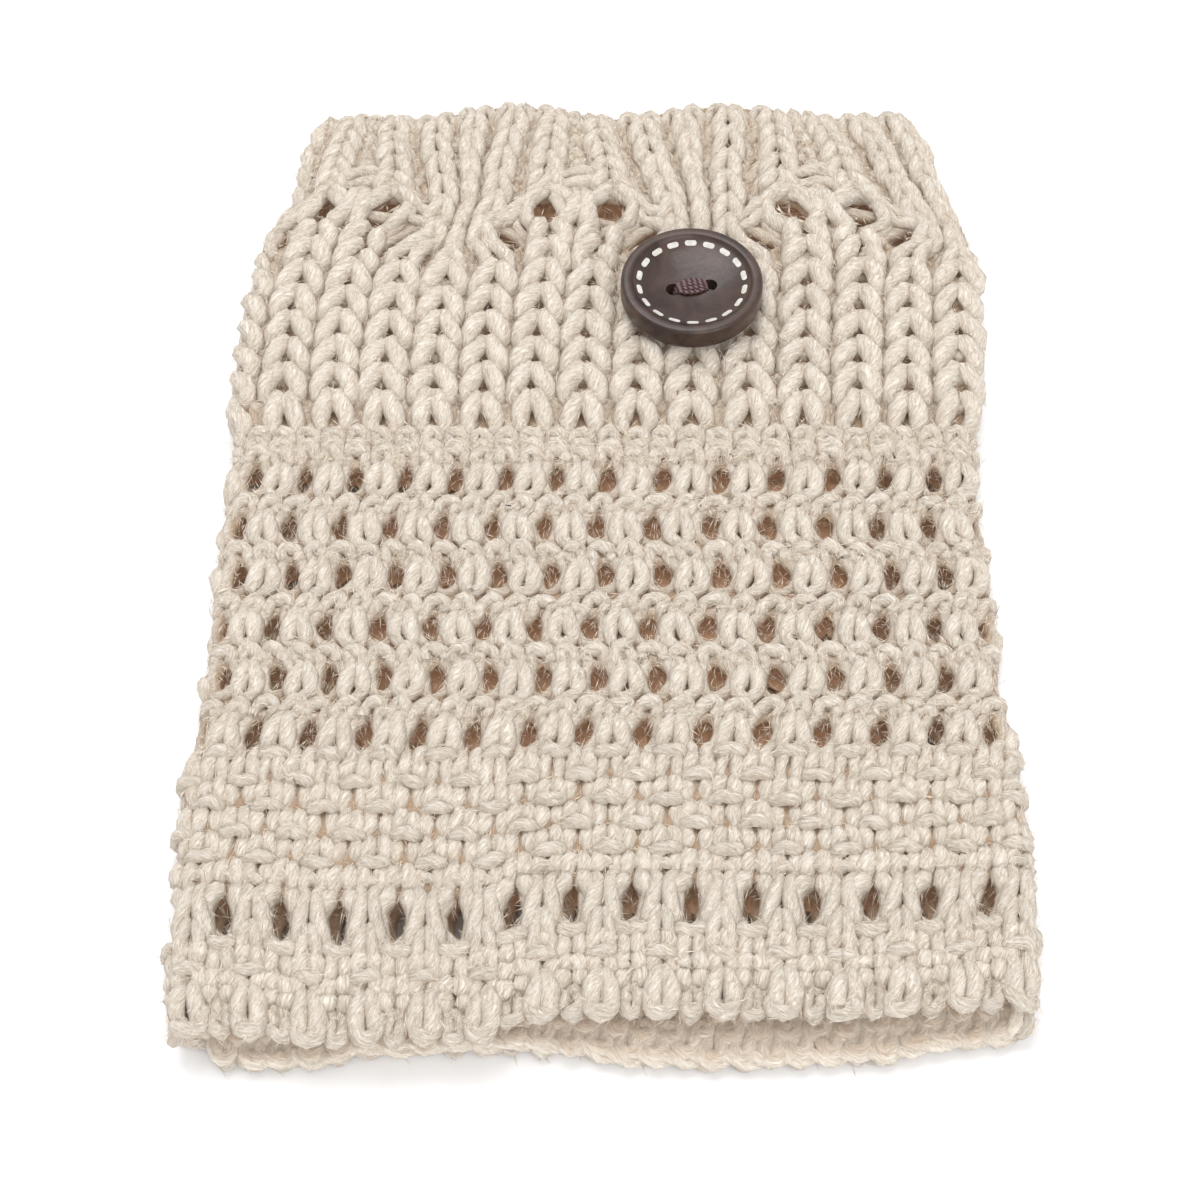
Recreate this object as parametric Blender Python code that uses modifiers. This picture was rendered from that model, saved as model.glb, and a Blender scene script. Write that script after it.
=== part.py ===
"""A knitted leg warmer, laid flat: lace trim, chunky ribs, eyelet body, keyhole row and hem.

Blender 4.5, metres, +Z up. The hem is at -Y, the lace trim at +Y, and the tube rests on z = 0.
The tube is one knitted cloth, parted at its two side folds into a front and a back wall.
A place on it is (column, along): rib columns round the tube from the middle of the front, and
metres from the hem line. A wall is plain inside, and its ribs are raised in its outer points.
"""
import bisect
import math

import bmesh
import bpy
from mathutils import Vector
from mathutils.geometry import delaunay_2d_cdt

# The cloth
WALL = 0.0032            # knitted cloth, thick yarn
HOLLOW = 0.0010          # between the front and the back, laid on each other
HEM_LIFT = 0.0016        # and how much more there is at the hem, which curls open
HEM_CURL = 0.0300        # the length over which it does
PARTING = 0.0003         # between the two walls along each side fold
FACE = 15                # rib columns on each face
FOLD = FACE / 2          # from the middle of a face to its side fold
FOLD_LINES = (7.12, 7.25, 7.37)          # lines of points that round the fold
FOLD_STEP = 0.0120
PITCH = 0.0083           # one rib column, measured round the tube

# The tube's outline: along the tube from the hem line, and how far each side fold lies from x = 0
SIDES = (
    # along, left, right
    (-0.0050, 0.0605, 0.0600),
    (0.0060, 0.0616, 0.0622),
    (0.0260, 0.0625, 0.0637),
    (0.0410, 0.0624, 0.0629),
    (0.0580, 0.0607, 0.0619),
    (0.0750, 0.0608, 0.0622),
    (0.0930, 0.0603, 0.0614),
    (0.1030, 0.0598, 0.0618),
    (0.1140, 0.0608, 0.0629),
    (0.1300, 0.0604, 0.0640),
    (0.1430, 0.0588, 0.0651),
    (0.1500, 0.0568, 0.0643),
    (0.1560, 0.0537, 0.0622),
    (0.1640, 0.0530, 0.0597),
    (0.1835, 0.0505, 0.0556),
)

# The two hem edges: column across the face, and how far each edge lies along the tube
HEM = (
    # column, front, back
    (-7.5, -0.0006, -0.0020),
    (-7.0, -0.0028, -0.0049),
    (-5.3, -0.0032, -0.0049),
    (-4.6, -0.0046, -0.0030),
    (-1.6, -0.0044, -0.0024),
    (-0.9, -0.0012, -0.0030),
    (0.0, -0.0004, -0.0046),
    (1.6, -0.0003, -0.0049),
    (4.4, -0.0007, -0.0040),
    (5.6, 0.0000, -0.0022),
    (6.8, 0.0006, -0.0012),
    (7.5, 0.0020, 0.0008),
)

# Ribs and the lace trim's fans
RIB_FOOT = 0.1036        # where the ribs rise from the eyelet body
RIB_RISE = 0.0018
FAN_RISE = 0.0013
RAMP = 0.0025            # the length over which a rib gains its height
FAN_COLUMNS = 5          # ribs in one fan, six fans round the tube
FAN_MIDDLE = 1.5         # the column of the fan under which the button sits
ARCH_LOW = 0.1470        # the line of the fans' feet, at a fan's middle
ARCH_RISE = 0.0127       # and how much higher it is between two fans
ARCH_CURVE = 1.3
FAN_PINCH = 1.7          # how hard the ribs draw together at a fan's foot
LEAN = 0.005             # the ribs start to draw together this far below the arch
FOLD_STILL = 1.5         # and they stay straight towards a side fold, in columns
TRIM_EDGE = 0.1814       # the cast-on edge, in waves
TRIM_WAVE = 0.0019
WAVE_SHIFT = 0.9         # the waves' crests from the fans' middles, in columns

# Eyelets: hexagons with a corner up and a corner down
ROWS = (
    # along, first column from the face's middle, how many, half width in columns, half height
    (0.0178, -6.5, 14, 0.21, 0.0029),
    (0.0480, -6.5, 14, 0.20, 0.0024),
    (0.0577, -6.0, 13, 0.20, 0.0025),
    (0.0669, -6.5, 14, 0.20, 0.0024),
    (0.0769, -6.0, 13, 0.20, 0.0025),
    (0.0863, -6.5, 14, 0.20, 0.0024),
    (0.0958, -6.0, 13, 0.20, 0.0025),
)
ARCH_EYELETS = (-2.1, -1.1, 1.1, 2.1)    # from a fan's middle, in columns, on the arch line
ARCH_EYELET_SIZE = (0.20, 0.0017)
RIM_COLUMNS, RIM_ALONG = 0.04, 0.0006    # other points keep this far off an eyelet

# The button: a turned disc with a dish, sewn on through two holes
BUTTON_RADIUS = 0.01225
BUTTON_THICK = 0.0046
BUTTON_PLACE = (0.0153, 0.1321)          # x, and along the tube
BUTTON_SEAT = 0.0003
RIM_RADIUS = 0.0111
BACK_INSET = 0.0012                      # the back's flat is this much smaller than the rim's
DISH_RADIUS = 0.0099
DISH_DEPTH = 0.0016
SEW_HOLE_RADIUS = 0.0012
SEW_HOLE_APART = 0.0057
THREAD_RADIUS = 0.0008
THREAD_GAP = 0.0003                      # over the dish's floor
THREAD_BEND = 0.0009                     # how far below its top the thread starts to turn

YARN = (0.69, 0.60, 0.49, 1.0)
HORN = (0.045, 0.030, 0.025, 1.0)
SEWING = (0.17, 0.11, 0.12, 1.0)


def ease(t):
    t = min(max(t, 0.0), 1.0)
    return t * t * (3 - 2 * t)


def between(rows, at):
    """A table's row at a place between its rows, eased from one to the next."""
    i = min(max(bisect.bisect([r[0] for r in rows], at), 1), len(rows) - 1)
    low, high = rows[i - 1], rows[i]
    t = ease((at - low[0]) / (high[0] - low[0]))
    return [a + (b - a) * t for a, b in zip(low[1:], high[1:])]


# The lace trim


def fan_middle(column):
    return FAN_MIDDLE + FAN_COLUMNS * round((column - FAN_MIDDLE) / FAN_COLUMNS)


def pinched(offset, power):
    """A column's offset from its fan's middle, drawn in towards it."""
    half = FAN_COLUMNS / 2
    return math.copysign(half * (abs(offset) / half) ** power, offset)


def arch(column):
    """The line along which the fans stand, over the ends of the ribs."""
    offset = pinched(column - fan_middle(column), FAN_PINCH)
    lift = (1 - math.cos(math.pi * offset / (FAN_COLUMNS / 2))) / 2
    return ARCH_LOW + ARCH_RISE * lift**ARCH_CURVE


def trim_edge(column):
    turn = (column - FAN_MIDDLE - WAVE_SHIFT) / FAN_COLUMNS
    return TRIM_EDGE + TRIM_WAVE * math.cos(2 * math.pi * turn)


def from_fold(column):
    """How many columns lie between a column and the nearer side fold."""
    return FOLD - abs((column + FOLD) % FACE - FOLD)


def fanned(column, along):
    """Where a column lies round the tube: straight, but drawn in at the fans' feet."""
    foot, edge = arch(column), trim_edge(column)
    if along < foot:
        drawn = ease((along - foot + LEAN) / LEAN)
    else:
        drawn = 1 - ease((along - foot) / (edge - foot))
    drawn *= ease(from_fold(column) / FOLD_STILL)
    middle = fan_middle(column)
    return middle + pinched(column - middle, 1 + (FAN_PINCH - 1) * drawn)


def rib(column):
    """A rib's rounded height over one column, with its valley on the whole numbers."""
    return math.sin(math.pi * (column % 1)) ** 0.6


def rise(column, along):
    """How far the outer points stand over the plain wall."""
    foot = arch(column)
    band = ease((along - RIB_FOOT) / RAMP) * ease((foot - along) / RAMP)
    fan = ease((along - foot) / RAMP)
    return rib(column) * (RIB_RISE * band + FAN_RISE * fan)


# The flattened tube


def hollow(along):
    return HOLLOW + HEM_LIFT * (1 - ease(along / HEM_CURL))


def on_tube(column, along, out):
    """A point of the tube, out from its plain inside."""
    left, right = between(SIDES, along)
    inner = hollow(along) / 2
    middle = inner + WALL / 2
    straight = (left + right) / 2 - inner - WALL
    quarter = straight + middle * math.pi / 2
    round_tube = (fanned(column, along) + FOLD) % (2 * FACE)
    face = 1 if round_tube <= FACE else -1
    across = face * (round_tube % FACE - FOLD) if round_tube != FACE else FOLD
    run = abs(across) / FOLD * quarter
    turn = max(run - straight, 0.0) / middle
    x = min(run, straight) + (inner + out) * math.sin(turn)
    z = (inner + out) * math.cos(turn)
    return Vector(((right - left) / 2 + math.copysign(x, across), along, WALL + inner + face * z))


def front_point(column, along, outer):
    point = on_tube(column, along, WALL + rise(column, along) if outer else 0.0)
    point.z = max(point.z, WALL + hollow(along) / 2 + PARTING / 2)
    return point


def back_point(column, along, outer):
    """Flat where it rests, with its ribs only where the fold turns up."""
    turned = 1 - ease(from_fold(column) / (FOLD - FOLD_LINES[0]))
    point = on_tube(column, along, WALL + rise(column, along) * turned if outer else 0.0)
    point.z = min(point.z, WALL + hollow(along) / 2 - PARTING / 2)
    return point


# The cloth's pattern, in columns and metres along, with its eyelets left open


def eyelets(middle):
    """Each eyelet of a face: its column, its place along, half its width and half its height."""
    found = [
        (middle + first + i, along, wide, high)
        for along, first, many, wide, high in ROWS
        for i in range(many)
    ]
    nearest = fan_middle(middle)
    for fan in (-2, -1, 0, 1, 2):
        for offset in ARCH_EYELETS:
            column = nearest + FAN_COLUMNS * fan + offset
            if abs(column - middle) < FOLD - 0.5:
                found.append((column, arch(column), *ARCH_EYELET_SIZE))
    return found


def hexagon(column, along, wide, high):
    corners = ((0, 1), (1, 0.45), (1, -0.45), (0, -1), (-1, -0.45), (-1, 0.45))
    return [(column + wide * x, along + high * y) for x, y in corners]


def clear_of(place, holes):
    """Whether a place lies out of every eyelet, and off its rim."""
    column, along = place
    return all(
        abs(column - c) > wide + RIM_COLUMNS or abs(along - v) > high + RIM_ALONG
        for c, v, wide, high in holes
    )


def levels(column, ribbed):
    """Where a line of points up a column has its points."""
    foot, edge = arch(column), trim_edge(column)
    if not ribbed:
        return [RIB_FOOT, (RIB_FOOT + foot) / 2, foot, edge]
    third = (foot - RAMP - RIB_FOOT - RAMP) / 3
    band = [RIB_FOOT, RIB_FOOT + RAMP, RIB_FOOT + RAMP + third, foot - RAMP - third, foot - RAMP]
    return band + [foot, foot + RAMP, (foot + RAMP + edge) / 2, edge]


def hem_edge(column, middle):
    """The hem's line on either face, from the table that goes from left to right."""
    front, back = between(HEM, column if middle == 0 else FACE - column)
    return front if middle == 0 else back


def pattern(middle, ribbed):
    """The flat pattern of the face round a middle column: its places and its triangles."""
    holes = eyelets(middle)
    places, edges = [], []

    def line(points, closed=False):
        start = len(places)
        places.extend(points)
        edges.extend((i, i + 1) for i in range(start, len(places) - 1))
        if closed:
            edges.append((len(places) - 1, start))

    for hole in holes:
        line(hexagon(*hole), closed=True)
    hole_corners = len(places)
    step = 0.25 if ribbed else 0.5
    offsets = {-FOLD + step * i for i in range(int(FACE / step) + 1)}
    offsets |= {side * c for side in (-1, 1) for c in FOLD_LINES}
    columns = sorted(middle + c for c in offsets)
    folds = [c for c in columns if abs(c - middle) > FOLD - 0.5]
    for c in columns:
        points = [(c, v) for v in levels(c, ribbed or c in folds)]
        if c in folds:
            below = int((RIB_FOOT - FOLD_STEP / 2) / FOLD_STEP)
            points = [(c, FOLD_STEP * (i + 1)) for i in range(below)] + points
            points.insert(0, (c, hem_edge(c, middle)))
        run = []
        for point in points:
            if clear_of(point, holes):
                run.append(point)
            else:
                line(run)
                run = []
        line(run)
    hem = [(c, hem_edge(c, middle)) for c in columns if c in folds or c % 0.5 == 0]
    trim = [(c, trim_edge(c)) for c in columns]
    line(hem)
    line(trim)

    flat = [Vector((c * PITCH, v)) for c, v in places]
    spots, _, faces, origins, _, _ = delaunay_2d_cdt(flat, edges, [], 0, 1e-7, True)
    spots = [(s.x / PITCH, s.y) for s in spots]
    hole_of = [min(o) // 6 if o and min(o) < hole_corners else None for o in origins]
    kept = []
    for face in faces:
        owners = {hole_of[i] for i in face}
        c = sum(spots[i][0] for i in face) / 3
        v = sum(spots[i][1] for i in face) / 3
        in_hole = len(owners) == 1 and None not in owners
        if not in_hole and chord(hem, c) < v < chord(trim, c):
            kept.append(face)
    return spots, kept


def chord(points, column):
    """The height of an outline of straight runs at a column."""
    i = min(max(bisect.bisect([p[0] for p in points], column), 1), len(points) - 1)
    (c0, v0), (c1, v1) = points[i - 1], points[i]
    return v0 + (v1 - v0) * (column - c0) / (c1 - c0)


def wall(name, spots, faces, point_of):
    """A closed wall: the pattern on the tube's inside, and pulled out to its outer points."""
    bm = bmesh.new()
    column_layer = bm.verts.layers.float.new("column")
    along_layer = bm.verts.layers.float.new("along")
    for column, along in spots:
        vert = bm.verts.new(point_of(column, along, False))
        vert[column_layer], vert[along_layer] = column, along
    bm.verts.ensure_lookup_table()
    for face in faces:
        bm.faces.new([bm.verts[i] for i in face])
    bmesh.ops.delete(bm, geom=[v for v in bm.verts if not v.link_faces], context="VERTS")
    pulled = bmesh.ops.extrude_face_region(bm, geom=bm.faces[:])
    for vert in pulled["geom"]:
        if isinstance(vert, bmesh.types.BMVert):
            vert.co = point_of(vert[column_layer], vert[along_layer], True)
    bmesh.ops.recalc_face_normals(bm, faces=bm.faces[:])
    mesh = bpy.data.meshes.new(name)
    bm.to_mesh(mesh)
    bm.free()
    return bpy.data.objects.new(name, mesh)


# The button and its thread


def button_middle():
    """The middle of the button's underside, just over the ribs' crests."""
    x, along = BUTTON_PLACE
    return Vector((x, along, 2 * WALL + HOLLOW + RIB_RISE + BUTTON_SEAT))


def turned_profile():
    """Half the button's section, from the middle of its back round to the middle of its dish."""
    corner = BUTTON_RADIUS - RIM_RADIUS
    back = [(0.0, 0.0)] + [
        (RIM_RADIUS + corner * math.cos(a) - BACK_INSET * (1 - math.cos(a)), corner - corner * math.sin(a))
        for a in (math.radians(90), math.radians(45), 0.0)
    ]
    edge = [
        (RIM_RADIUS + corner * math.cos(a), BUTTON_THICK - corner + corner * math.sin(a))
        for a in (0.0, math.radians(30), math.radians(60), math.radians(90))
    ]
    dish = [
        (DISH_RADIUS * share, BUTTON_THICK - DISH_DEPTH * (1 - share**4))
        for share in (1.0, 0.93, 0.82, 0.6, 0.0)
    ]
    return back + edge + dish


def make_button(collection, cutters):
    mesh = bpy.data.meshes.new("button")
    profile = turned_profile()
    mesh.from_pydata([(r, 0, z) for r, z in profile], [(i, i + 1) for i in range(len(profile) - 1)], [])
    button = bpy.data.objects.new("button", mesh)
    collection.objects.link(button)
    turning = button.modifiers.new("turned", "SCREW")
    turning.steps = turning.render_steps = 36
    turning.use_merge_vertices = True
    turning.merge_threshold = 0.0001
    turning.use_normal_calculate = True
    for side, name in ((-1, "sewing_hole_left"), (1, "sewing_hole_right")):
        bpy.ops.mesh.primitive_cylinder_add(
            vertices=12, radius=SEW_HOLE_RADIUS, depth=3 * BUTTON_THICK,
            location=(side * SEW_HOLE_APART / 2, 0, BUTTON_THICK / 2),
        )
        cutter = bpy.context.object
        cutter.name = name
        for owner in cutter.users_collection:
            owner.objects.unlink(cutter)
        cutters.objects.link(cutter)
        cutter.display_type = "WIRE"
        cutter.hide_render = True
        cutter.parent = button
        drill = button.modifiers.new(name, "BOOLEAN")
        drill.operation = "DIFFERENCE"
        drill.solver = "EXACT"
        drill.object = cutter
    button.location = button_middle()
    return button


def make_thread(collection):
    """The stitches through the button, as one staple: up a hole, across the dish and down."""
    floor = BUTTON_THICK - DISH_DEPTH
    top = floor + THREAD_GAP + THREAD_RADIUS
    reach = SEW_HOLE_APART / 2
    half = [(reach, 0.0), (reach, top - THREAD_BEND), (reach - THREAD_BEND / 2, top)]
    path = [(-x, z) for x, z in half] + half[::-1]
    curve = bpy.data.curves.new("button_thread", "CURVE")
    curve.dimensions = "3D"
    spline = curve.splines.new("POLY")
    spline.points.add(len(path) - 1)
    for point, (x, z) in zip(spline.points, path):
        point.co = (x, 0, z, 1)
    curve.bevel_depth = THREAD_RADIUS
    curve.bevel_resolution = 2
    curve.use_fill_caps = True
    thread = bpy.data.objects.new("button_thread", curve)
    thread.location = button_middle()
    collection.objects.link(thread)
    return thread


def finish(obj, name, colour, roughness):
    material = bpy.data.materials.new(name)
    material.use_nodes = True
    shader = material.node_tree.nodes["Principled BSDF"]
    shader.inputs["Base Color"].default_value = colour
    shader.inputs["Roughness"].default_value = roughness
    obj.data.materials.append(material)


for obj in list(bpy.data.objects):
    bpy.data.objects.remove(obj)
warmer = bpy.data.collections.new("leg_warmer")
cutters = bpy.data.collections.new("cutters")
for collection in (warmer, cutters):
    bpy.context.scene.collection.children.link(collection)
cutters.hide_render = True

front = wall("knit_front", *pattern(0, ribbed=True), front_point)
back = wall("knit_back", *pattern(FACE, ribbed=False), back_point)
for cloth in (front, back):
    warmer.objects.link(cloth)
    finish(cloth, cloth.name + "_yarn", YARN, 0.9)
button = make_button(warmer, cutters)
finish(button, "button_horn", HORN, 0.35)
thread = make_thread(warmer)
finish(thread, "sewing_thread", SEWING, 0.8)

# The origin is under the middle of the box that holds it all
places = [vert.co for cloth in (front, back) for vert in cloth.data.vertices]
middle = [(min(p[i] for p in places) + max(p[i] for p in places)) / 2 for i in (0, 1)]
for obj in (front, back, button, thread):
    obj.location -= Vector((*middle, 0))
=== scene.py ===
"""A knitted leg warmer laid flat: soft yarn knitted loop by loop, a sewn-on button and its thread.

Blender 4.5, metres, +Z up. The tube lies on z = 0 with its hem at -Y and its lace trim at +Y.
A place on the cloth is (wale, along, out): rib columns round the tube from the middle of the
front, metres up from the hem line, and metres out from the cloth's plain inside.
"""

import bmesh
import bpy
import numpy as np
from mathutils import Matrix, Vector


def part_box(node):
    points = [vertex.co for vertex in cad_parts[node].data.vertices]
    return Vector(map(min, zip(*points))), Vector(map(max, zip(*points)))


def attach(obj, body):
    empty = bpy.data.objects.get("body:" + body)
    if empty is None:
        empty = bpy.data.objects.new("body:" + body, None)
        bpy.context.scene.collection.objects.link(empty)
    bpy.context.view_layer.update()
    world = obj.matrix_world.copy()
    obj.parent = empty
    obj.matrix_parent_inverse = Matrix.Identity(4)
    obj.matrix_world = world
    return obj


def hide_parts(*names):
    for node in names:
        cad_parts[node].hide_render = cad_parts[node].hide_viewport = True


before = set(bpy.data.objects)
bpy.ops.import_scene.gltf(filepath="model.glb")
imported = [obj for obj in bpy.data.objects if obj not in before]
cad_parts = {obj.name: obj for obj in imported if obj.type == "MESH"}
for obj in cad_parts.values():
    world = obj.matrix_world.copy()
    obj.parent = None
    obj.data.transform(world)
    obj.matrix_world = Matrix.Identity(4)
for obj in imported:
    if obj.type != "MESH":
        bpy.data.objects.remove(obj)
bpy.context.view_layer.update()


# ---- The tube ----
# One cloth of a soft acrylic and wool yarn, knitted in the round from the lace trim down to the hem,
# with no seam. Here is how it lies flat, its front on its back, and the matted web of fibres that
# fills it between the loops.

WALL = 0.0032  # thickness of the cloth
HOLLOW = 0.0010  # between the front and the back
HEM_LIFT = 0.0016  # how much more there is at the hem, which curls open
HEM_CURL = 0.0300  # the length over which it does
FACE = 15  # rib columns on each face
FOLD = FACE / 2
ROUND = 2 * FACE
PITCH = 0.0085  # one column, measured round the tube
TUBE_LENGTH = 0.186

SIDES = (
    # along, left, right: how far each side fold lies from x = 0
    (-0.0050, 0.0605, 0.0600),
    (0.0060, 0.0616, 0.0622),
    (0.0260, 0.0625, 0.0637),
    (0.0410, 0.0624, 0.0629),
    (0.0580, 0.0607, 0.0619),
    (0.0750, 0.0608, 0.0622),
    (0.0930, 0.0603, 0.0614),
    (0.1030, 0.0598, 0.0618),
    (0.1140, 0.0608, 0.0629),
    (0.1300, 0.0604, 0.0640),
    (0.1430, 0.0588, 0.0651),
    (0.1500, 0.0568, 0.0643),
    (0.1560, 0.0537, 0.0622),
    (0.1640, 0.0530, 0.0597),
    (0.1835, 0.0505, 0.0556),
)
HEM = (
    # column, how far the hem's edge lies along the tube: the front's, then the back's
    (-7.5, -0.0013), (-7.0, -0.0028), (-5.3, -0.0032), (-4.6, -0.0046), (-1.6, -0.0044),
    (-0.9, -0.0012), (0.0, -0.0004), (1.6, -0.0003), (4.4, -0.0007), (5.6, 0.0000),
    (6.8, 0.0006), (7.5, 0.0014), (8.2, -0.0012), (9.4, -0.0022), (10.6, -0.0040),
    (13.4, -0.0049), (15.0, -0.0046), (15.9, -0.0030), (16.6, -0.0024), (19.6, -0.0030),
    (20.3, -0.0049), (22.0, -0.0049), (22.5, -0.0013),
)
SAG_END = 0.062  # the rows follow the hem's line up to here
WANDER = (
    # along, how far the wales have wandered round the tube, in columns
    (0.000, -0.50), (0.018, -0.55), (0.030, -0.45), (0.040, -0.40), (0.048, -0.35),
    (0.0577, -0.12), (0.0669, -0.30), (0.0769, 0.00), (0.0863, -0.18), (0.0958, 0.05),
    (0.1040, 0.00), (0.2000, 0.00),
)
DRIFT = (
    # column, how far the columns there lie to the right of an even spacing, as a share of the most
    (-7.5, 0.0), (-1.0, 0.0), (5.0, 1.0), (6.6, 1.0), (11.5, 0.0), (22.5, 0.0),
)
DRIFT_MOST = ((0.010, 0.15), (0.030, 0.20), (0.060, 0.55), (0.200, 0.55))  # along, columns

BACK_SLIP = 0.0030  # the back has slipped this far towards the hem under the front
SLIP_FROM, SLIP_TO, SLIP_EASE = 0.015, 0.150, 0.030

FAN_COLUMNS = 5  # ribs in one fan of the lace trim
FAN_MIDDLE = 1.5  # the column of the fan over the button
ARCH_LOW = 0.1470  # the line on which the fans stand, at a fan's middle
ARCH_RISE = 0.0127  # and how much higher it is between two fans
ARCH_CURVE = 1.3
FAN_PINCH = 1.7  # how hard the ribs draw together at a fan's foot
LEAN = 0.005
FOLD_STILL = 1.5
TRIM_EDGE = 0.1814
TRIM_WAVE = 0.0015
WAVE_SHIFT = 0.9
TRIM_CORNERS = (0.0032, 0.0022)  # how far the edge dips at the left and the right fold
CORNER_WIDE = 2.2  # columns
EDGE_THIN = 0.45  # how much of its depth the cloth keeps at the edge
EDGE_RUN = 0.014  # the length over which it thins
FOLD_SQUASH = 0.1  # how much flatter the stitches lie at the side folds

# How the model's origin lies in these sizes, from where the button is
BUTTON_PLACE = (0.0153, 0.1321)
button_low, button_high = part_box("button")
button_middle = (button_low + button_high) / 2
ORIGIN = Vector(BUTTON_PLACE) - button_middle.to_2d()


def ease(t):
    t = np.clip(t, 0.0, 1.0)
    return t * t * (3 - 2 * t)


def between(rows, at, part=1):
    """A table's value at places between its rows, eased from one to the next."""
    rows = np.array(rows)
    i = np.clip(np.searchsorted(rows[:, 0], at, side="right"), 1, len(rows) - 1)
    low, high = rows[i - 1], rows[i]
    t = ease((at - low[..., 0]) / (high[..., 0] - low[..., 0]))
    return low[..., part] + (high[..., part] - low[..., part]) * t


def on_face(column):
    """The same column, between the front's left fold and the back's far end."""
    return (column + FOLD) % ROUND - FOLD


def pinched(offset, power):
    half = FAN_COLUMNS / 2
    return np.sign(offset) * half * (np.abs(offset) / half) ** power


def fan_middle(column):
    return FAN_MIDDLE + FAN_COLUMNS * np.round((column - FAN_MIDDLE) / FAN_COLUMNS)


def arch(column):
    """The line along which the fans stand, over the ends of the ribs."""
    offset = pinched(column - fan_middle(column), FAN_PINCH)
    lift = (1 - np.cos(np.pi * offset / (FAN_COLUMNS / 2))) / 2
    return ARCH_LOW + ARCH_RISE * lift**ARCH_CURVE


def trim_edge(column):
    turn = (column - FAN_MIDDLE - WAVE_SHIFT) / FAN_COLUMNS
    around = (column + FOLD) % ROUND
    from_left = np.minimum(around, ROUND - around)
    dip = TRIM_CORNERS[0] * (1 - ease(from_left / CORNER_WIDE))
    dip = dip + TRIM_CORNERS[1] * (1 - ease(np.abs(around - FACE) / CORNER_WIDE))
    return TRIM_EDGE + TRIM_WAVE * np.cos(2 * np.pi * turn) - dip


def fanned(column, along):
    """Where a wale lies: straight, but drawn in towards the fans' feet."""
    foot, edge = arch(column), trim_edge(column)
    below = ease((along - foot + LEAN) / LEAN)
    above = 1 - ease((along - foot) / (edge - foot))
    drawn = np.where(along < foot, below, above)
    from_fold = FOLD - np.abs((column + FOLD) % FACE - FOLD)
    drawn = drawn * ease(from_fold / FOLD_STILL)
    middle = fan_middle(column)
    return middle + pinched(column - middle, 1 + (FAN_PINCH - 1) * drawn)


def behind(wale):
    """1 in the middle of the back, and 0 all over the front."""
    return np.sin(np.pi * np.clip(on_face(wale) / FACE - 0.5, 0.0, 1.0)) ** 2


def laid(wale, along, out):
    """Points of the cloth as it lies, in the model's own frame."""
    out = out * (EDGE_THIN + (1 - EDGE_THIN) * ease((trim_edge(wale) - along) / EDGE_RUN))
    along = along + between(HEM, on_face(wale)) * (1 - ease(along / SAG_END))
    slip = ease((along - SLIP_FROM) / SLIP_EASE) * ease((SLIP_TO - along) / SLIP_EASE)
    along = along - BACK_SLIP * behind(wale) * slip
    column = fanned(wale, along) + between(WANDER, along)
    column = column + between(DRIFT, on_face(column)) * between(DRIFT_MOST, along)
    left, right = between(SIDES, along, 1), between(SIDES, along, 2)
    inner = (HOLLOW + HEM_LIFT * (1 - ease(along / HEM_CURL))) / 2
    middle = inner + WALL / 2
    straight = (left + right) / 2 - inner - WALL
    quarter = straight + middle * np.pi / 2
    position = (column + FOLD) % ROUND
    face = np.where(position <= FACE, 1.0, -1.0)
    across = face * (position - FOLD - FACE * (position > FACE))
    run = np.abs(across) / FOLD * quarter
    turn = np.maximum(run - straight, 0.0) / middle
    out = out * (1 - FOLD_SQUASH * np.sin(turn))
    x = np.minimum(run, straight) + (inner + out) * np.sin(turn)
    z = WALL + inner + face * (inner + out) * np.cos(turn)
    return np.stack([(right - left) / 2 + np.sign(across) * x - ORIGIN.x, along - ORIGIN.y, z], -1)


# An eyelet's shape: half its clear width, half its clear height, and how much wider it is at the top
KEYHOLE = (0.0015, 0.0028, 0.55)
EYELET = (0.0009, 0.0018, -0.25)
KEYHOLE_ROW = 0.0185
EYELET_ROWS = (0.0480, 0.0577, 0.0669, 0.0769, 0.0863, 0.0958)
ARCH_EYELETS = (
    # columns from a fan's middle, how far above the arch line, half the clear width and height
    (-2.05, -0.0026, 0.0018, 0.0025),
    (-1.35, -0.0010, 0.0013, 0.0015),
    (1.35, -0.0010, 0.0013, 0.0015),
    (2.05, -0.0026, 0.0018, 0.0025),
)


def eyelets():
    """Every eyelet: its wale, its place along, its clear half width and height, and its taper."""
    rows = [(KEYHOLE_ROW, KEYHOLE)] + [(along, EYELET) for along in EYELET_ROWS]
    found = [(float(wale), along, *shape) for along, shape in rows for wale in range(ROUND)]
    for fan in range(ROUND // FAN_COLUMNS):
        for offset, above, wide, high in ARCH_EYELETS:
            wale = FAN_MIDDLE + FAN_COLUMNS * fan + offset
            found.append((wale, float(arch(wale)) + above, wide, high, 0.0))
    return found


def eyelet_distance(wale, along, hole, margin):
    """How far places lie from an eyelet's middle: 1 on its rim, with a margin round it."""
    middle, height, wide, high, taper = hole
    sideways = ((wale - middle + FACE) % ROUND - FACE) * PITCH
    up = (along - height) / (high + margin)
    sideways = sideways / ((wide + margin) * (1 + taper * np.clip(up, -1, 1)))
    return sideways, up, np.hypot(sideways, up)


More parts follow.
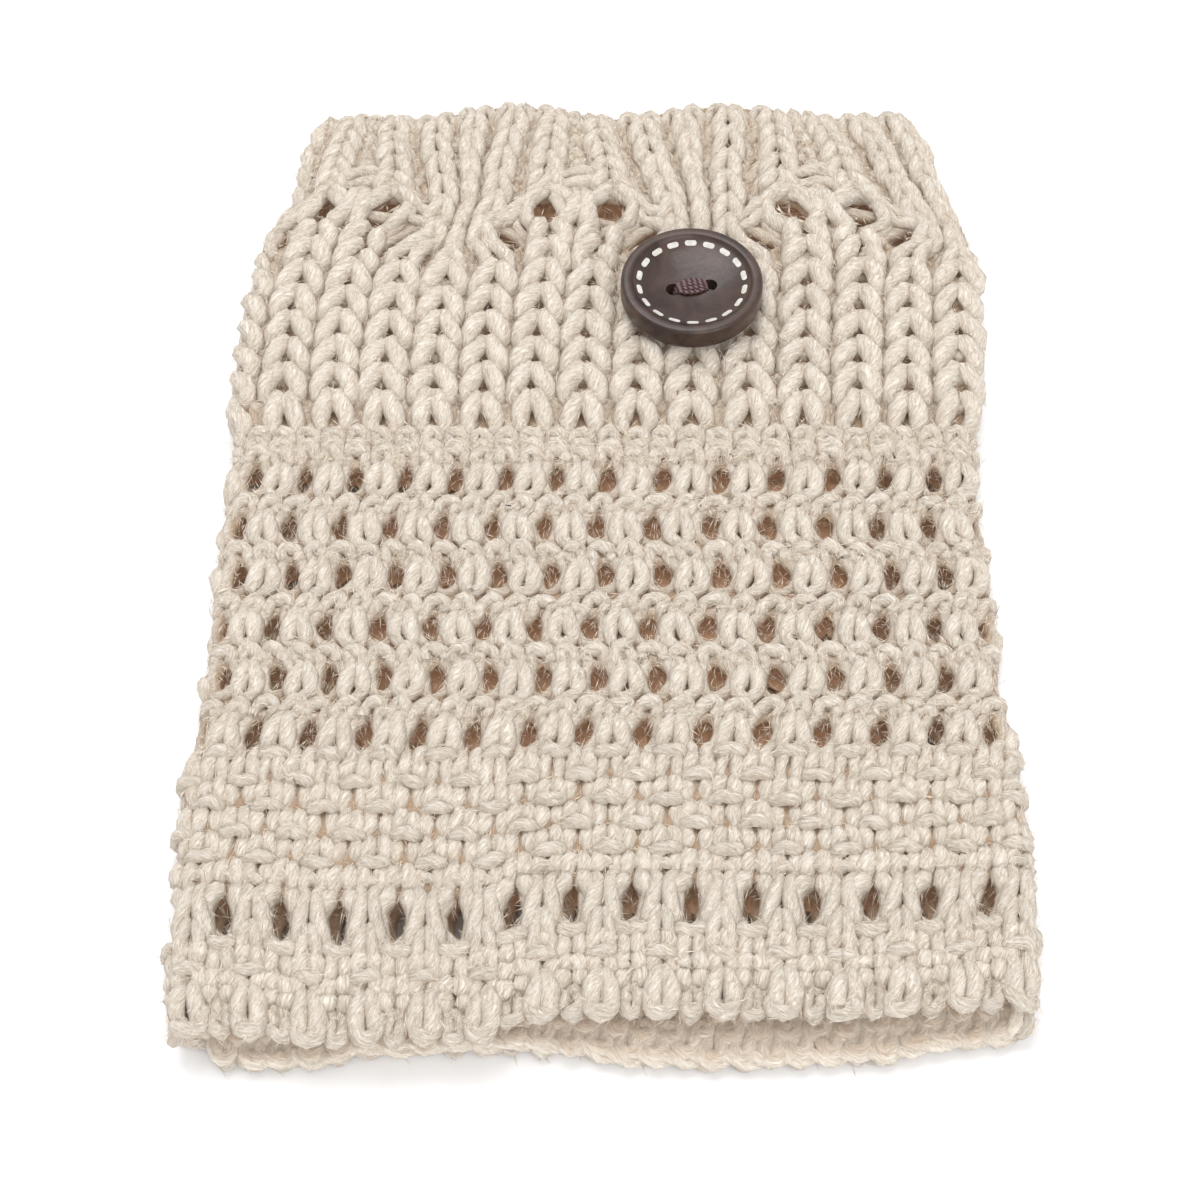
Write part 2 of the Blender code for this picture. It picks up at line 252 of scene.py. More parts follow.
WEB_DEPTHS = (
    # along, how far out from the cloth's inside the web lies
    (0.000, 0.0010), (0.006, 0.0012), (0.022, 0.0014), (0.028, 0.0020), (0.044, 0.0020),
    (0.050, 0.0014), (0.096, 0.0014), (0.104, 0.0015), (0.200, 0.0013),
)
BACK_WEB = 0.0008  # how much further in the back's web lies, over the backs of its loops
BACK_REACH = 3.0  # how soon it does so, in from the side folds
WEB_THICK = 0.0007
WEB_ACROSS = 6  # cells of the web in one column
WEB_ROWS = 120
WEB_INSET = 0.0018  # how far the web stays inside the hem and the cast-on edge
OPEN_MARGIN = 0.0001  # how far past an eyelet's clear edge the web is open
EYELET_RIM = 0.0009  # half the thickness of the yarn round an eyelet
EYELET_PULL = 3.0  # how close to its rim an eyelet moves what it parts
EYELET_REACH = 3.5  # how far from its middle it moves anything, in its own sizes


def parted(wale, along):
    """Places of the cloth pushed aside where an eyelet is."""
    wale, along = wale.copy(), along.copy()
    for hole in eyelets():
        sideways, up, distance = eyelet_distance(wale, along, hole, EYELET_RIM)
        near = distance < EYELET_REACH
        if near.any():
            s, u, d = sideways[near], up[near], np.maximum(distance[near], 1e-3)
            grown = (d**EYELET_PULL + 1) ** (1 / EYELET_PULL) / d
            wide = (hole[2] + EYELET_RIM) * (1 + hole[4] * np.clip(u, -1, 1))
            wale[near] += s * (grown - 1) * wide / PITCH
            along[near] += u * (grown - 1) * (hole[3] + EYELET_RIM)
    return wale, along


def new_object(name, data):
    thing = bpy.data.objects.new(name, data)
    bpy.context.scene.collection.objects.link(thing)
    return thing


def shaped(name, bm):
    """An object of the shape that a bmesh holds."""
    mesh = bpy.data.meshes.new(name)
    bm.to_mesh(mesh)
    bm.free()
    return new_object(name, mesh)


web_wales = -FOLD + np.arange(ROUND * WEB_ACROSS) / WEB_ACROSS
web_shares = (np.arange(WEB_ROWS) / (WEB_ROWS - 1))[:, None]
web_wales = np.repeat(web_wales[None, :], WEB_ROWS, 0)
web_alongs = WEB_INSET + (trim_edge(web_wales) - 2 * WEB_INSET) * web_shares
cell_wales = web_wales + 0.5 / WEB_ACROSS
cell_alongs = web_alongs + 0.5 * TUBE_LENGTH / WEB_ROWS
open_cells = np.zeros(cell_wales.shape, bool)
for hole in eyelets():
    open_cells |= eyelet_distance(cell_wales, cell_alongs, hole, OPEN_MARGIN)[2] < 1.0
web_wales, web_alongs = parted(web_wales, web_alongs)
web_depths = between(WEB_DEPTHS, web_alongs)
web_inward = np.minimum(BACK_REACH * behind(web_wales), 1.0) * ease(web_alongs / HEM_CURL)
web_depths -= BACK_WEB * web_inward
web_places = laid(web_wales, web_alongs, web_depths)
bm = bmesh.new()
web_points = [[bm.verts.new(p) for p in ring] for ring in web_places]
for i in range(WEB_ROWS - 1):
    for j in range(ROUND * WEB_ACROSS):
        if not open_cells[i, j]:
            k = (j + 1) % (ROUND * WEB_ACROSS)
            face = (web_points[i][j], web_points[i][k], web_points[i + 1][k], web_points[i + 1][j])
            bm.faces.new(face).smooth = True
bmesh.ops.delete(bm, geom=[v for v in bm.verts if not v.link_faces], context="VERTS")
web = shaped("knit_web", bm)
felt = web.modifiers.new("felted fibres", "SOLIDIFY")
felt.thickness = WEB_THICK
felt.offset = 0.0
felt.material_offset = 1  # the inside of the tube takes its own material, in deeper painted shade


def new_material(name, finish):
    """A material with one finish, that finish's node, and short ways to add and join others."""
    material = bpy.data.materials.new(name)
    material.use_nodes = True
    tree = material.node_tree
    tree.nodes.clear()

    def add(kind, inputs=(), **settings):
        node = tree.nodes.new("ShaderNode" + kind)
        for key, value in settings.items():
            setattr(node, key, value)
        for key, value in dict(inputs).items():
            node.inputs[key].default_value = value
        return node

    def join(node, *steps):
        """Links nodes in a line: one's output, the next one's input, that next one, and so on."""
        for output, socket, target in zip(steps[::3], steps[1::3], steps[2::3]):
            tree.links.new(node.outputs[output], target.inputs[socket])
            node = target

    def shades(*stops):
        ramp = add("ValToRGB")
        elements = ramp.color_ramp.elements
        while len(elements) < len(stops):
            elements.new(0.5)
        for element, (position, colour) in zip(elements, stops):
            element.position = position
            element.color = (*colour, 1)
        return ramp

    surface = add("BsdfPrincipled", finish)
    join(surface, "BSDF", "Surface", add("OutputMaterial"))
    return material, surface, add, join, shades


PAINTED_DAYLIGHT = (0.093, 0.073)  # painted light: how far from the tube's middle its inside is painted fully bright, and fully in painted shade
DEEP_PAINTED_GLOW = (0.50, 0.29, 0.18)  # painted glow: an emitted colour that stands in for daylight come through the cloth


def web_material(name, dark, light, end_light, glow):
    """Matted fibres between two tones of painted shade, with a painted glow for daylight through the cloth,
    and painted paler at the tube's open ends.
    """
    material, cloth, add, join, shades = new_material(name, {
        "Roughness": 0.95,
        "Specular IOR Level": 0.1,
        "Emission Color": (*DEEP_PAINTED_GLOW, 1),
    })
    place = add("TexCoord")
    fibres = add("TexNoise", {"Scale": 900.0, "Detail": 5.0, "Roughness": 0.7})
    shade = shades((0.3, dark), (0.7, light))
    bump = add("Bump", {"Strength": 0.8, "Distance": 0.0004})
    parts = add("SeparateXYZ")
    from_middle = add("Math", operation="ABSOLUTE")
    painted_light_mask = add("MapRange", {"From Min": PAINTED_DAYLIGHT[0], "From Max": PAINTED_DAYLIGHT[1]})
    painted_glow_strength = add("Math", {1: glow}, operation="MULTIPLY")
    tone = add("Mix", {6: (*end_light, 1)}, data_type="RGBA")
    join(place, "Object", "Vector", fibres, "Fac", "Fac", shade, "Color", 7, tone, 2, "Base Color", cloth)
    join(place, "Object", "Vector", parts, "Y", 0, from_middle, "Value", "Value", painted_light_mask, "Result", 0, tone)
    join(painted_light_mask, "Result", 0, painted_glow_strength, "Value", "Emission Strength", cloth)
    join(fibres, "Fac", "Height", bump, "Normal", "Normal", cloth)
    return material


# Painted shade: the web is coloured darker than the yarn, like the cloth between the loops in shade, and
# darker still inside the tube
WEB_SHADES = (
    # name, dark and light (both painted shade), painted light at the tube's ends, and how strong the
    # painted glow for daylight through the cloth is
    ("felt_outside_painted_shade", (0.28, 0.19, 0.13), (0.50, 0.38, 0.27), (0.40, 0.29, 0.20), 0.03),
    ("felt_inside_painted_shade", (0.36, 0.21, 0.12), (0.62, 0.40, 0.25), (0.75, 0.65, 0.53), 0.16),
)
for felt_shade in WEB_SHADES:
    web.data.materials.append(web_material(*felt_shade))
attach(web, "root")
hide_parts("knit_front", "knit_back")


# ---- The lace trim ----
# The cast-on edge and the rows under it, the first that are knitted: ribs that spread like a
# fountain from each fan's foot. The yarn is a thick, soft, loosely spun blend of acrylic and wool.

YARN = 0.00105  # half the yarn's thickness
SIDES_OF_YARN = 6
LUMPS = 0.05  # how unevenly the fibres stand out of the yarn, as a share of its radius
STEPS = 2  # points between two knots of a loop
NEXT_SHARE = 0.65  # a knot between two parts of a stitch lies this much as the next one does
random = np.random.default_rng(7)

# Hand-knitted: how far stitches stray, and then each knot of them
STITCH_ROUND = 0.014  # columns
STITCH_ALONG = 0.00018
KNOT_STRAY = (0.014, 0.00020, 0.00012, 0.08)  # columns, along, out, swell


def stitch(foot, leg, head, foot_out, leg_out, head_out, swell=(1.0, 1.0, 0.9), reach=1.0):
    """Half widths in columns, how far out each part lies, how the yarn swells, and the loop's length."""
    return np.array([foot, leg, head, foot_out, leg_out, head_out, *swell, reach])


def row_of(*groups):
    """The stitches of one row, in order: the wales of each kind, and the kind."""
    rows = [np.column_stack([wales, np.tile(kind, (len(wales), 1))]) for wales, kind in groups]
    rows = np.concatenate(rows)
    return rows[np.argsort(rows[:, 0])]


def knitted(stitches, top, tall, closed=True):
    """The yarn of one row: down a leg, round the head and up the other leg of each stitch."""
    wale, foot, leg, head, foot_out, leg_out, head_out, *others = stitches.T
    foot_swell, leg_swell, head_swell, reach = others
    before = np.roll(stitches, 1, 0)
    before[0, 0] = before[0, 0] - ROUND if closed else 2 * wale[0] - wale[1]
    shoulder_out = (1 - NEXT_SHARE) * foot_out + NEXT_SHARE * leg_out
    hip_out = (1 - NEXT_SHARE) * leg_out + NEXT_SHARE * head_out
    hip_swell = (leg_swell + head_swell) / 2
    knots = (
        # wale, share of the loop's length, out, swell
        ((before[:, 0] + before[:, 1] + wale - foot) / 2, 0.0, (before[:, 4] + foot_out) / 2, foot_swell),
        (wale - foot, 0.16, shoulder_out, foot_swell),
        (wale - leg, 0.48, leg_out, leg_swell),
        (wale - head, 0.82, hip_out, hip_swell),
        (wale, 1.0, head_out, head_swell),
        (wale + head, 0.82, hip_out, hip_swell),
        (wale + leg, 0.48, leg_out, leg_swell),
        (wale + foot, 0.16, shoulder_out, foot_swell),
    )
    line = np.empty((len(wale), len(knots), 4))
    for k, (where, down, out, swell) in enumerate(knots):
        line[:, k, 0] = where
        line[:, k, 1] = (top(where) if k == 0 else top(wale)) - tall(wale) * reach * down
        line[:, k, 2] = out
        line[:, k, 3] = swell
    line[:, :, 0] += random.normal(0, STITCH_ROUND, len(wale))[:, None]
    line[:, :, 1] += random.normal(0, STITCH_ALONG, len(wale))[:, None]
    return smooth(unevenly(line.reshape(-1, 4)), closed)


def unevenly(line):
    """Hand-pulled yarn: no two knots of it lie or swell quite alike."""
    return line + random.normal(0, 1, line.shape) * KNOT_STRAY


def smooth(knots, closed):
    """A round curve through knots, with STEPS points from each to the next."""
    if closed:
        turn = np.array([ROUND, 0, 0, 0])
        rows = np.concatenate([knots[-1:] - turn, knots, knots[:2] + turn])
    else:
        rows = np.concatenate([knots[:1], knots, knots[-1:]])
    a, b, c, d = rows[:-3], rows[1:-2], rows[2:-1], rows[3:]
    points = []
    for t in np.arange(STEPS) / STEPS:
        curve = 2 * b + (c - a) * t + (2 * a - 5 * b + 4 * c - d) * t**2 + (3 * b - a - 3 * c + d) * t**3
        points.append(curve / 2)
    line = np.stack(points, 1).reshape(-1, 4)
    return line if closed else np.concatenate([line, knots[-1:]])


END_PAINTED_LIGHT = 0.003  # painted light: near the tube's ends the yarn is painted as pale as if it lay this much further out
TRIM_PAINTED_LIGHT_RUN = 0.006  # the length over which it is so at the lace trim


def tube_along(path, outward, radius, sides, closed, lumpy=0.0):
    """The corners and faces of a tube of yarn round a path, and the path's length at each ring."""
    if closed:
        ahead = np.roll(path, -1, 0)
        tangent = ahead - np.roll(path, 1, 0)
        step = np.linalg.norm(ahead - path, axis=1)
    else:
        tangent = np.gradient(path, axis=0)
        step = np.append(np.linalg.norm(np.diff(path, axis=0), axis=1), 0.0)
    tangent /= np.linalg.norm(tangent, axis=1)[:, None]
    side = np.cross(tangent, outward)
    side /= np.linalg.norm(side, axis=1)[:, None]
    rise = np.cross(side, tangent)
    angle = (np.arange(sides) * 2 * np.pi / sides)[None, :, None]
    ring = np.cos(angle) * side[:, None, :] + np.sin(angle) * rise[:, None, :]
    lumps = 1 + lumpy * random.normal(0, 1, (len(path), sides, 1))
    corners = path[:, None, :] + radius[:, None, None] * lumps * ring
    spans = len(path) if closed else len(path) - 1
    i, j = (n.ravel() for n in np.meshgrid(np.arange(spans), np.arange(sides), indexing="ij"))
    k, m = (i + 1) % len(path), (j + 1) % sides
    quads = np.stack([i * sides + j, k * sides + j, k * sides + m, i * sides + m], -1)
    length = np.concatenate([[0.0], np.cumsum(step)])
    lengths = np.stack([length[i], length[i + 1], length[i + 1], length[i]], -1)
    turns = np.stack([j, j, j + 1, j + 1], -1) / sides
    return corners.reshape(-1, 3), quads, np.stack([lengths, turns], -1)


def strand_mesh(name, corners, faces, uvs, depths):
    """A mesh whose faces all have as many corners, with its place along the yarn and the depth that drives
    its painted shade.
    """
    mesh = bpy.data.meshes.new(name)
    mesh.vertices.add(len(corners))
    mesh.vertices.foreach_set("co", corners.ravel().astype(np.float32))
    mesh.loops.add(faces.size)
    mesh.loops.foreach_set("vertex_index", faces.ravel().astype(np.int32))
    mesh.polygons.add(len(faces))
    mesh.polygons.foreach_set("loop_start", np.arange(len(faces), dtype=np.int32) * faces.shape[1])
    mesh.polygons.foreach_set("use_smooth", np.ones(len(faces), bool))
    along_yarn = mesh.uv_layers.new(name="along_yarn")
    along_yarn.data.foreach_set("uv", uvs.ravel().astype(np.float32))
    depth = mesh.attributes.new("painted_shade_depth", "FLOAT", "POINT")
    depth.data.foreach_set("value", depths.astype(np.float32))
    mesh.update(calc_edges=True)
    mesh.validate()
    return mesh


OUTWARD_STEP = 0.001  # a small step, to tell which way is out of the cloth
LEAST_LIFT = 0.00005  # the lowest yarn lies this far above the table
BIGGEST_LUMP = 4  # how many times the usual lump a big one is
END_OUT = 0.0006  # an open end of yarn is tucked in this deep
END_RINGS = 3  # over the last rings of its tube
END_TAPER = 0.2
STREAKS_FROM = 5.0  # metres of yarn within which the streaks of a row begin


def spun(name, lines, thickness=YARN, closed=True, shade=None):
    """One piece of yarn, along lines of (wale, along, out, swell)."""
    corners, quads, uvs, depths, base = [], [], [], [], 0
    rise = np.sin(np.arange(SIDES_OF_YARN) * 2 * np.pi / SIDES_OF_YARN)
    for line in lines:
        wale, along = parted(line[:, 0], line[:, 1])
        if not closed:
            from_end = np.minimum(np.arange(len(line)), np.arange(len(line))[::-1])
            line[:, 2] += (END_OUT - line[:, 2]) * (1 - ease(from_end / END_RINGS))
        path = laid(wale, along, line[:, 2])
        outward = laid(wale, along, line[:, 2] + OUTWARD_STEP) - path
        radius = thickness * line[:, 3]
        if not closed:
            radius[[0, -1]] *= END_TAPER
        path[:, 2] = np.maximum(path[:, 2], radius * (1 + BIGGEST_LUMP * LUMPS) + LEAST_LIFT)
        strand, faces, lengths = tube_along(path, outward, radius, SIDES_OF_YARN, closed, LUMPS)
        lengths[..., 0] += random.uniform(0, STREAKS_FROM)
        corners.append(strand)
        quads.append(faces + base)
        uvs.append(lengths)
        # Painted shade: the depth is lower on each strand's inner side, and painted light raises it near
        # the hem and the cast-on edge
        from_edge = trim_edge(line[:, 0]) - line[:, 1]
        end_light = 2 - ease(line[:, 1] / HEM_CURL) - ease(from_edge / TRIM_PAINTED_LIGHT_RUN)
        depth = line[:, 2] + END_PAINTED_LIGHT * end_light
        depths.append((depth[:, None] + radius[:, None] * rise).ravel())
        combed.append((path, outward, radius))
        base += len(strand)
    parts = (np.concatenate(part) for part in (corners, quads, uvs, depths))
    piece = new_object(name, strand_mesh(name, *parts))
    piece.data.materials.append(shade or yarn)
    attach(piece, "root")


def yarn_material(name, dark, light, sheen, painted_glow_colour=(0.0, 0.0, 0.0)):
    """Soft yarn: streaks of fibre that run along it with a slow twist, with painted shade and a painted
    glow deep in the cloth.
    """
    material, wool, add, join, shades = new_material(name, {
        "Roughness": 0.85,
        "Specular IOR Level": 0.12,
        "Sheen Weight": sheen,
        "Sheen Roughness": 0.45,
        "Sheen Tint": (1.0, 0.95, 0.88, 1),
        "Emission Strength": 0.15,
    })
    uv = add("UVMap", uv_map="along_yarn")
    parts = add("SeparateXYZ")
    twist = add("Math", {1: 75.0}, operation="MULTIPLY_ADD")  # turns in a metre of yarn
    turn = add("Math", {1: 2 * np.pi}, operation="MULTIPLY")
    cosine = add("Math", operation="COSINE")
    sine = add("Math", operation="SINE")
    length = add("Math", {1: 220.0}, operation="MULTIPLY")  # how short the streaks are
    place = add("CombineXYZ")
    streaks = add("TexNoise", {"Scale": 4.0, "Detail": 4.0, "Roughness": 0.75, "Distortion": 1.0})
    shade = shades((0.36, dark), (0.62, light))
    # Painted shade and painted glow: yarn deep in the cloth is painted darker and warmer, and given an
    # emitted glow
    depth = add("Attribute", attribute_name="painted_shade_depth")
    inside = add("MapRange", {"From Min": 0.0, "From Max": 0.0036})
    painted_shade = shades((0.0, (0.46, 0.31, 0.20)), (0.32, (0.66, 0.54, 0.43)), (0.80, (1, 1, 1)))
    glow = shades((0.20, DEEP_PAINTED_GLOW), (0.62, painted_glow_colour))
    tone = add("Mix", {0: 1.0}, data_type="RGBA", blend_type="MULTIPLY")
    bump = add("Bump", {"Strength": 1.0, "Distance": 0.0004})
    join(uv, "UV", "Vector", parts, "X", 0, twist, "Value", 0, turn)
    join(parts, "Y", 2, twist)
    join(turn, "Value", 0, cosine, "Value", "Y", place)
    join(turn, "Value", 0, sine, "Value", "Z", place)
    join(parts, "X", 0, length, "Value", "X", place)
    join(place, "Vector", "Vector", streaks, "Fac", "Fac", shade, "Color", 6, tone, 2, "Base Color", wool)
    join(depth, "Fac", "Value", inside, "Result", "Fac", painted_shade, "Color", 7, tone)
    join(inside, "Result", "Fac", glow, "Color", "Emission Color", wool)
    join(streaks, "Fac", "Height", bump, "Normal", "Normal", wool)
    return material


YARN_DARK = (0.57, 0.465, 0.36)
YARN_LIGHT = (0.93, 0.867, 0.775)
YARN_SHEEN = 0.10
yarn = yarn_material("soft_yarn", YARN_DARK, YARN_LIGHT, YARN_SHEEN)
combed = []  # every strand's path, the way out of the cloth, and its radius, for the nap

RIB_WALES = -FOLD + 1.0 + np.arange(ROUND)  # the knit wales, on the ribs
PURL_WALES = RIB_WALES - 0.5  # the purl wales, in the valleys

FAN_ROWS = 6
FAN_RIBS = (-2, -1, 0, 1, 2)
FAN_VALLEYS = (-2.66, -2.32, -1.5, -0.5, 0.5, 1.5)
FAN_LOOP = 1.6  # a loop's length, in rows
FAN_STITCH = stitch(0.08, 0.18, 0.24, 0.0020, 0.0034, 0.0014, (1.1, 1.35, 1.1))
FAN_PURL = stitch(0.09, 0.10, 0.10, 0.0021, 0.0010, 0.0015, (1.1, 1.0, 1.1))
TRIM_INSET = 0.0020  # from the cloth's edge to the middle of its yarn
fan_middles = FAN_MIDDLE + FAN_COLUMNS * np.arange(-1, 5)
fan_knit = (fan_middles[:, None] + np.array(FAN_RIBS)).ravel()
fan_purl = (fan_middles[:, None] + np.array(FAN_VALLEYS)).ravel()


def trim_row(share):
    """The height of a row of the trim, a share of the way from the fans' feet to the edge."""
    return lambda wale: arch(wale) + (trim_edge(wale) - TRIM_INSET - arch(wale)) * share


fan_lines = []
for row in range(-1, FAN_ROWS):
    fan_lines.append(knitted(
        row_of((fan_knit, FAN_STITCH), (fan_purl, FAN_PURL)),
        trim_row((row + 1) / FAN_ROWS),
        lambda wale: (trim_edge(wale) - arch(wale)) / FAN_ROWS * FAN_LOOP,
    ))
spun("lace_trim", fan_lines)

# The stitches that lean along the arch, where the fans' ribs are drawn together
ARCH_STRANDS = ((0.0014, 0.0026), (0.0036, 0.0028))  # above the arch line, out of the cloth
ARCH_FROM = 0.5  # columns from a fan's middle where they begin
ARCH_KNOTS = 16
ARCH_SWELL = 1.1
ARCH_ZIGZAG = (0.0, 0.0004, 0.0, 0.2)  # columns, along, out, swell: to and fro from knot to knot
to_and_fro = np.array([(-1) ** np.arange(ARCH_KNOTS)]).T


def strand_at(wales, along, out, swell):
    """The knots of a strand that runs over the stitches."""
    return np.column_stack(np.broadcast_arrays(wales, along, out, swell))


arch_lines = []
for middle in fan_middles:
    for lift, out in ARCH_STRANDS:
        wales = middle + np.linspace(ARCH_FROM, FAN_COLUMNS - ARCH_FROM, ARCH_KNOTS)
        strand = strand_at(wales, arch(wales) + lift, out, ARCH_SWELL) + to_and_fro * ARCH_ZIGZAG
        arch_lines.append(smooth(unevenly(strand), False))
spun("arch_strands", arch_lines, closed=False)


# ---- The chunky ribs ----
# Knit one, purl one under the fans. Each knit wale stands up as a stack of rounded arches, and the
# purl wales sink between them into narrow valleys.

RIB_PITCH = 0.0058
RIB_FIRST = 0.1136  # the height of the lowest row
RIB_ROWS = 6
RIB_LOOP = 1.5 * RIB_PITCH
RIB_STITCH = stitch(0.09, 0.265, 0.34, 0.0014, 0.0035, 0.0015, (1.5, 1.7, 1.35))
LAST_RIB_STITCH = stitch(0.10, 0.20, 0.26, 0.0014, 0.0035, 0.0008, (1.5, 1.6, 1.3))
VALLEY_STITCH = stitch(0.07, 0.08, 0.08, 0.0014, 0.0010, 0.0012, (1.2, 1.2, 1.2))


def straight_row(stitches, height, tall, closed=True):
    """The yarn of a row that is all at one height, with loops all of one length."""
    return knitted(stitches, lambda wale: height, lambda wale: tall, closed)


rib_lines = []
for row in range(RIB_ROWS):
    kind = RIB_STITCH if row else LAST_RIB_STITCH
    row_stitches = row_of((RIB_WALES, kind), (PURL_WALES, VALLEY_STITCH))
    rib_lines.append(straight_row(row_stitches, RIB_FIRST + RIB_PITCH * row, RIB_LOOP))
spun("rib_band", rib_lines)

# The ribs run on up into the crown of each arch, in ever fewer stitches
CROWNS = (
    # row, the knit wales from the crown's middle, the purl wales
    (6, (-0.5, 0.5), (0.0,)),
    (6.8, (-0.5, 0.5), (0.0,)),
    (7.7, (0.0,), (-0.25, 0.25)),
)
crown_lines = []
for row, knit_wales, purl_wales in CROWNS:
    for crown in fan_middles + FAN_COLUMNS / 2:
        row_stitches = row_of(
            (crown + np.array(knit_wales), RIB_STITCH),
            (crown + np.array(purl_wales), VALLEY_STITCH),
        )
        crown_lines.append(straight_row(row_stitches, RIB_FIRST + RIB_PITCH * row, RIB_LOOP, closed=False))
spun("rib_crowns", crown_lines, closed=False)


# ---- The ridge and the eyelet body ----
# A purl ridge ends the ribs. Under it come six rows of eyelets: yarn-overs between pairs of
# stitches knitted together, each row followed by a purled one.

BODY_YARN = 0.00100
HALF_WALES = -FOLD + 0.25 + 0.5 * np.arange(2 * ROUND)
RIDGE_ROWS = (0.1054, 0.1028)
PURL_TALL = 0.0042
BUMPS_ABOVE = 0.0055  # how far above the eyelets' middles the purled rows lie
ARCS_ABOVE = 0.0042
ARC_TALL = 0.0013
KNIT_ABOVE = 0.0034
KNIT_TALL = 0.0067
TOGETHER = stitch(0.07, 0.145, 0.195, 0.0014, 0.0030, 0.0018, (1.1, 1.45, 1.25))
YARN_OVER = stitch(0.16, 0.24, 0.16, 0.0012, 0.0019, 0.0014, (1.0, 1.1, 1.0), 0.9)
SMALL_BUMP = stitch(0.12, 0.10, 0.11, 0.0024, 0.0018, 0.0012, (1.25, 1.1, 0.9))
WIDE_ARC = stitch(0.20, 0.16, 0.13, 0.0014, 0.0020, 0.0012, (1.1, 1.1, 0.9))

purled = row_of((HALF_WALES, SMALL_BUMP))
spun("purl_ridge", [straight_row(purled, height, PURL_TALL) for height in RIDGE_ROWS], BODY_YARN)

arcs = row_of((PURL_WALES, WIDE_ARC))
eyelet_row = row_of((RIB_WALES, TOGETHER), (PURL_WALES, YARN_OVER))
for part, rows in (("upper", EYELET_ROWS[3:]), ("lower", EYELET_ROWS[:3])):
    body_lines = []
    for height in reversed(rows):
        body_lines += [
            straight_row(purled, height + BUMPS_ABOVE, PURL_TALL),
            straight_row(arcs, height + ARCS_ABOVE, ARC_TALL),
            straight_row(eyelet_row, height + KNIT_ABOVE, KNIT_TALL),
        ]
    spun("eyelet_body_" + part, body_lines, BODY_YARN)


# ---- The woven-look band ----
# Slipped stitches with the yarn carried in front: short flat bars, set like bricks, with the legs of
# the knitted stitches between them.

EVERY_WALE = np.sort(np.concatenate([RIB_WALES, PURL_WALES]))
LINEN_ROWS = (
    # how far the bars are shifted, in columns, and their height
    (0.5, 0.0445), (0.0, 0.0402), (0.5, 0.0361), (0.0, 0.0319), (0.5, 0.0274),
)
SLIPPED_LENGTH = 0.0092
FIRST_SLIPPED = 0.0466
FIRST_LENGTH = 0.0080
SLIPPED = stitch(0.10, 0.12, 0.15, 0.0014, 0.0024, 0.0014, (1.1, 1.25, 1.0))
BAR = 0.13  # half a bar's flat top, in columns
BAR_OUT = 0.0033
LEG = 0.14  # from the middle between two bars to the legs there, in columns


def barred(phase, height, tall):
    """A row of bars at the wales of one phase, with a knitted stitch between each two."""
    left_half = (
        # wale from the bar's middle, share of the loop's length, out, swell
        (0.0, 0.0, BAR_OUT, 1.15),
        (BAR, 0.01, BAR_OUT - 0.0002, 1.1),
        (0.26, 0.02, 0.0016, 1.0),
        (0.5 - LEG * 0.7, 0.08, 0.0020, 1.2),
        (0.5 - LEG, 0.24, 0.0024, 1.55),
        (0.5 - LEG, 0.46, 0.0014, 1.3),
        (0.5 - LEG * 1.1, 0.70, 0.0021, 1.5),
        (0.5 - LEG * 1.2, 0.90, 0.0014, 1.1),
        (0.5 - LEG * 0.5, 1.0, 0.0010, 1.0),
    )
    right_half = [(1 - aside, down, out, swell) for aside, down, out, swell in left_half[:0:-1]]
    knots = (*left_half, *right_half)
    line = np.array([
        [(wale + aside, height - tall * down, out, swell) for aside, down, out, swell in knots]
        for wale in PURL_WALES + phase
    ])
    return smooth(unevenly(line.reshape(-1, 4)), True)


slipped_row = row_of((EVERY_WALE, SLIPPED))
woven_lines = [straight_row(slipped_row, FIRST_SLIPPED, FIRST_LENGTH)]
woven_lines += [barred(*row, SLIPPED_LENGTH) for row in LINEN_ROWS]
spun("woven_band", woven_lines, BODY_YARN)


# ---- The keyholes ----
# A row of long eyelets, wide at the top, in the yarn of the body. Between them the stitches are
# knitted two together, and look like tulips.

OVER_KEYHOLES = stitch(0.10, 0.11, 0.12, 0.0026, 0.0012, 0.0012)
TULIP = stitch(0.11, 0.20, 0.27, 0.0012, 0.0029, 0.0016, (1.1, 1.25, 1.0))
TULIP_HEART = stitch(0.07, 0.12, 0.15, 0.0010, 0.0032, 0.0014, (1.0, 1.1, 1.0))
KEY_EDGE = stitch(0.10, 0.10, 0.10, 0.0012, 0.0012, 0.0012)

KEYHOLE_ROWS = (
    # a row's stitches, its height, and its loops' length
    (row_of((HALF_WALES, OVER_KEYHOLES)), 0.0250, 0.0040),
    (row_of((RIB_WALES, TULIP), (PURL_WALES, KEY_EDGE)), 0.0236, 0.0094),
    (row_of((RIB_WALES, TULIP_HEART), (PURL_WALES, KEY_EDGE)), 0.0190, 0.0080),
)
spun("keyhole_row", [straight_row(*row) for row in KEYHOLE_ROWS], BODY_YARN)


# ---- The hem ----
# Two more woven-look rows, a row of long upright stitches, and the edge, which is bound off loosely
# and curls open. Under the front's edge, the back's shows its inside.

UPRIGHT = stitch(0.08, 0.135, 0.14, 0.0012, 0.0030, 0.0022, (1.1, 1.35, 1.2))
BOUND_OFF = stitch(0.20, 0.20, 0.16, 0.0014, 0.0026, 0.0030, (1.1, 1.1, 1.1))
HEM_VALLEY = stitch(0.12, 0.12, 0.10, 0.0014, 0.0018, 0.0024)

HEM_ROWS = (
    # what knits the row, its stitches or its bars' shift, its height, and its loops' length
    (straight_row, slipped_row, 0.0160, 0.0078),
    (barred, 0.0, 0.0146, 0.0080),
    (barred, 0.5, 0.0103, 0.0050),
    (straight_row, row_of((RIB_WALES, UPRIGHT), (PURL_WALES, KEY_EDGE)), 0.0090, 0.0078),
    (straight_row, row_of((RIB_WALES, BOUND_OFF), (PURL_WALES, HEM_VALLEY)), 0.0042, 0.0032),
)
spun("hem", [knit(*row) for knit, *row in HEM_ROWS])
